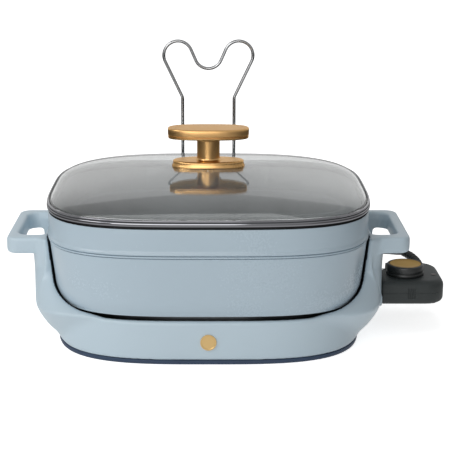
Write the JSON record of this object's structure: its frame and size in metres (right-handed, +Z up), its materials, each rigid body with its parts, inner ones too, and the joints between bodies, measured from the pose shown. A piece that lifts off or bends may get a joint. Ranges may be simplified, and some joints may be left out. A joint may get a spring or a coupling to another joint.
{
  "type": "electric skillet",
  "caption": "Electric skillet: heated cradle with loop handles, lift-out pan, domed glass lid with a bar knob, wire lid rest, and plug-in heat control with dial and lead.",
  "frame": {"origin": "centre of the foot ring's underside, on the table", "axes": "+Z up, +X to the side where the heat control plugs in, +Y to the back where the lid rest stands"},
  "size_m": [0.4885, 0.428, 0.3046],
  "materials": {
    "body_blue": "smooth moulded",
    "enamel_blue": "sprayed enamel on cast aluminium",
    "trim_navy": "matte moulded",
    "satin_gold": "satin brushed",
    "bright_steel": "polished",
    "sheet_steel": "rolled sheet",
    "cast_alloy": "as cast",
    "white_ceramic": "fired",
    "lid_glass": "tempered",
    "charcoal": "fine texture",
    "lead_black": "matte moulded",
    "soft_black": "matte moulded",
    "contact_brass": "drawn",
    "lens_red": "clear moulded"
  },
  "bodies": {
    "base": {"cradle": "body_blue", "foot_ring": "trim_navy", "bottom_cover": "sheet_steel", "cover_screws": "bright_steel", "heat_shield": "sheet_steel", "plate_standoffs": "white_ceramic", "heater_plate": "cast_alloy", "heating_element": "sheet_steel", "terminal_block": "white_ceramic", "badge": "satin_gold", "lid_rest_bracket": "body_blue", "bracket_screws": "bright_steel"},
    "pan": {"pan": "enamel_blue"},
    "lid": {"lid_glass": "lid_glass", "lid_rim": "bright_steel", "knob_gasket": "soft_black", "knob_base": "satin_gold", "knob_post": "satin_gold", "knob_grip": "satin_gold", "knob_screw": "bright_steel", "knob_washer": "soft_black"},
    "lid_rest": {"lid_rest": "bright_steel"},
    "control": {"control_top": "charcoal", "control_bottom": "charcoal", "control_screws": "bright_steel", "probe": "bright_steel", "contact_sleeves": "contact_brass", "thermostat": "white_ceramic", "indicator_lens": "lens_red", "strain_relief": "lead_black", "cord_run": "lead_black", "cord_coil": "lead_black", "cord_tie": "soft_black", "plug_body": "lead_black", "plug_blades": "contact_brass"},
    "dial": {"dial": "charcoal", "dial_cap": "satin_gold", "dial_shaft": "bright_steel"}
  },
  "joints": [
    {"name": "pan_lift", "type": "slide", "parent": "base", "child": "pan", "axis": [0, 0, 1], "range_m": [0, 0.13]},
    {"name": "lid_lift", "type": "slide", "parent": "pan", "child": "lid", "axis": [0, 0, 1], "range_m": [0, 0.15]},
    {"name": "lid_rest_lift", "type": "slide", "parent": "base", "child": "lid_rest", "axis": [0, 0, 1], "range_m": [0, 0.1]},
    {"name": "control_unplug", "type": "slide", "parent": "base", "child": "control", "axis": [1, 0, 0], "range_m": [0, 0.06]},
    {"name": "dial_turn", "type": "hinge", "parent": "control", "child": "dial", "pos_m": [0.2245, -0.009, 0.0588], "axis": [0, 0, 1], "range_deg": [-300, 0]}
  ]
}
